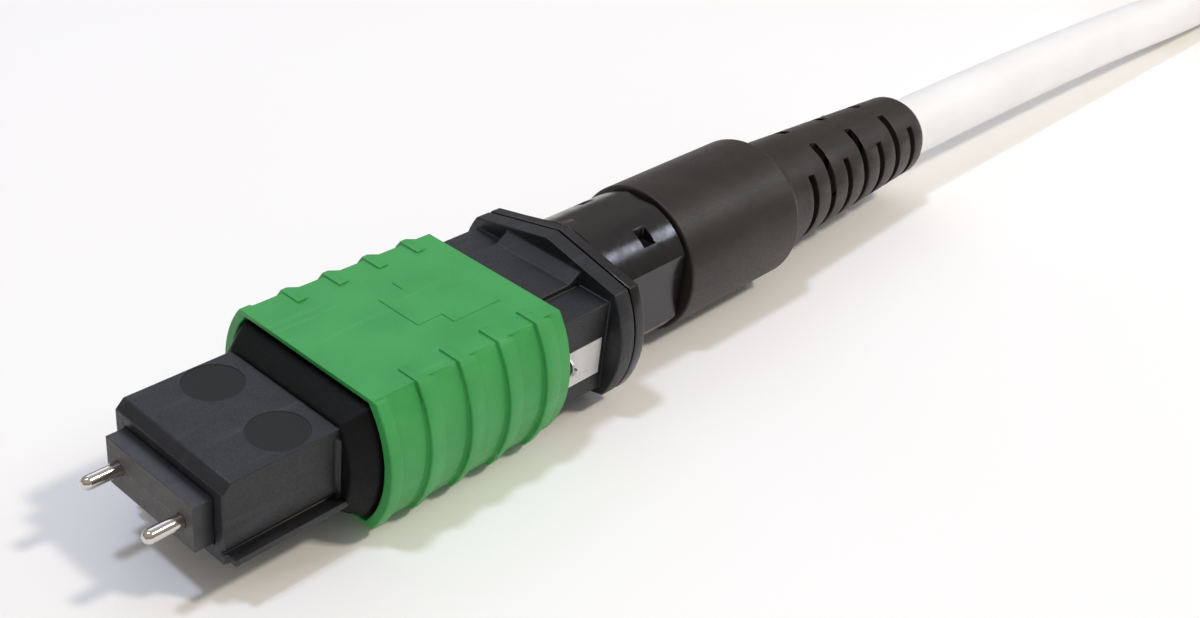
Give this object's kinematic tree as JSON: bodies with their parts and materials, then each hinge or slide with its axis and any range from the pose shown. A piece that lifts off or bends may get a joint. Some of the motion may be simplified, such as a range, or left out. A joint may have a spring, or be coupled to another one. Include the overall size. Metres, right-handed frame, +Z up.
{
  "type": "fibre optic connector",
  "caption": "Multi-fibre push-on connector with guide pins, a sprung ferrule, a ribbed release sleeve and a slotted boot on a round cable.",
  "frame": {"origin": "on the supporting surface, below the connector's axis, midway between the guide pins' tips and the boot's rear end", "axes": "+Y back along the connector's axis to the cable, +Z up, away from the side with the key, +X to the side with the white mark"},
  "size_m": [0.0341, 0.2236, 0.0177],
  "materials": {
    "housing_plastic": "fine matt moulded",
    "coupling_plastic": "fine matt moulded",
    "push_plastic": "satin moulded",
    "ferrule_resin": "ground",
    "epoxy": "cast",
    "pin_steel": "ground and polished",
    "clamp_plastic": "moulded",
    "grommet_rubber": "moulded",
    "spring_steel": "drawn wire",
    "ribbon": "coated",
    "mark_paint": "printed",
    "aramid": "yarn",
    "crimp_metal": "satin",
    "boot_rubber": "satin",
    "jacket": "satin",
    "tie_fabric": "woven"
  },
  "bodies": {
    "housing": {"inner_housing": "housing_plastic", "fibre_one_mark": "mark_paint", "spring_push": "push_plastic", "aramid_yarn": "aramid", "crimp_ring": "crimp_metal", "boot": "boot_rubber", "cable_lead": "jacket", "cable_hank": "jacket", "hank_tie_near": "tie_fabric", "hank_tie_far": "tie_fabric", "coupling_spring_left": "spring_steel", "coupling_spring_right": "spring_steel", "ferrule_spring": "spring_steel"},
    "coupling": {"coupling_sleeve": "coupling_plastic"},
    "ferrule": {"mt_ferrule": "ferrule_resin", "window_epoxy": "epoxy", "guide_pin_left": "pin_steel", "guide_pin_right": "pin_steel", "pin_clamp": "clamp_plastic", "ferrule_boot": "grommet_rubber", "fibre_ribbon": "ribbon"}
  },
  "joints": [
    {"name": "coupling_slide", "type": "slide", "parent": "housing", "child": "coupling", "axis": [0, 1, 0], "range_m": [0, 0.002], "stiffness_N_per_m": 300, "deforming": ["coupling_spring_left", "coupling_spring_right"]},
    {"name": "ferrule_float", "type": "slide", "parent": "housing", "child": "ferrule", "axis": [0, 1, 0], "range_m": [0, 0.0008], "stiffness_N_per_m": 800, "deforming": ["ferrule_spring"]}
  ]
}
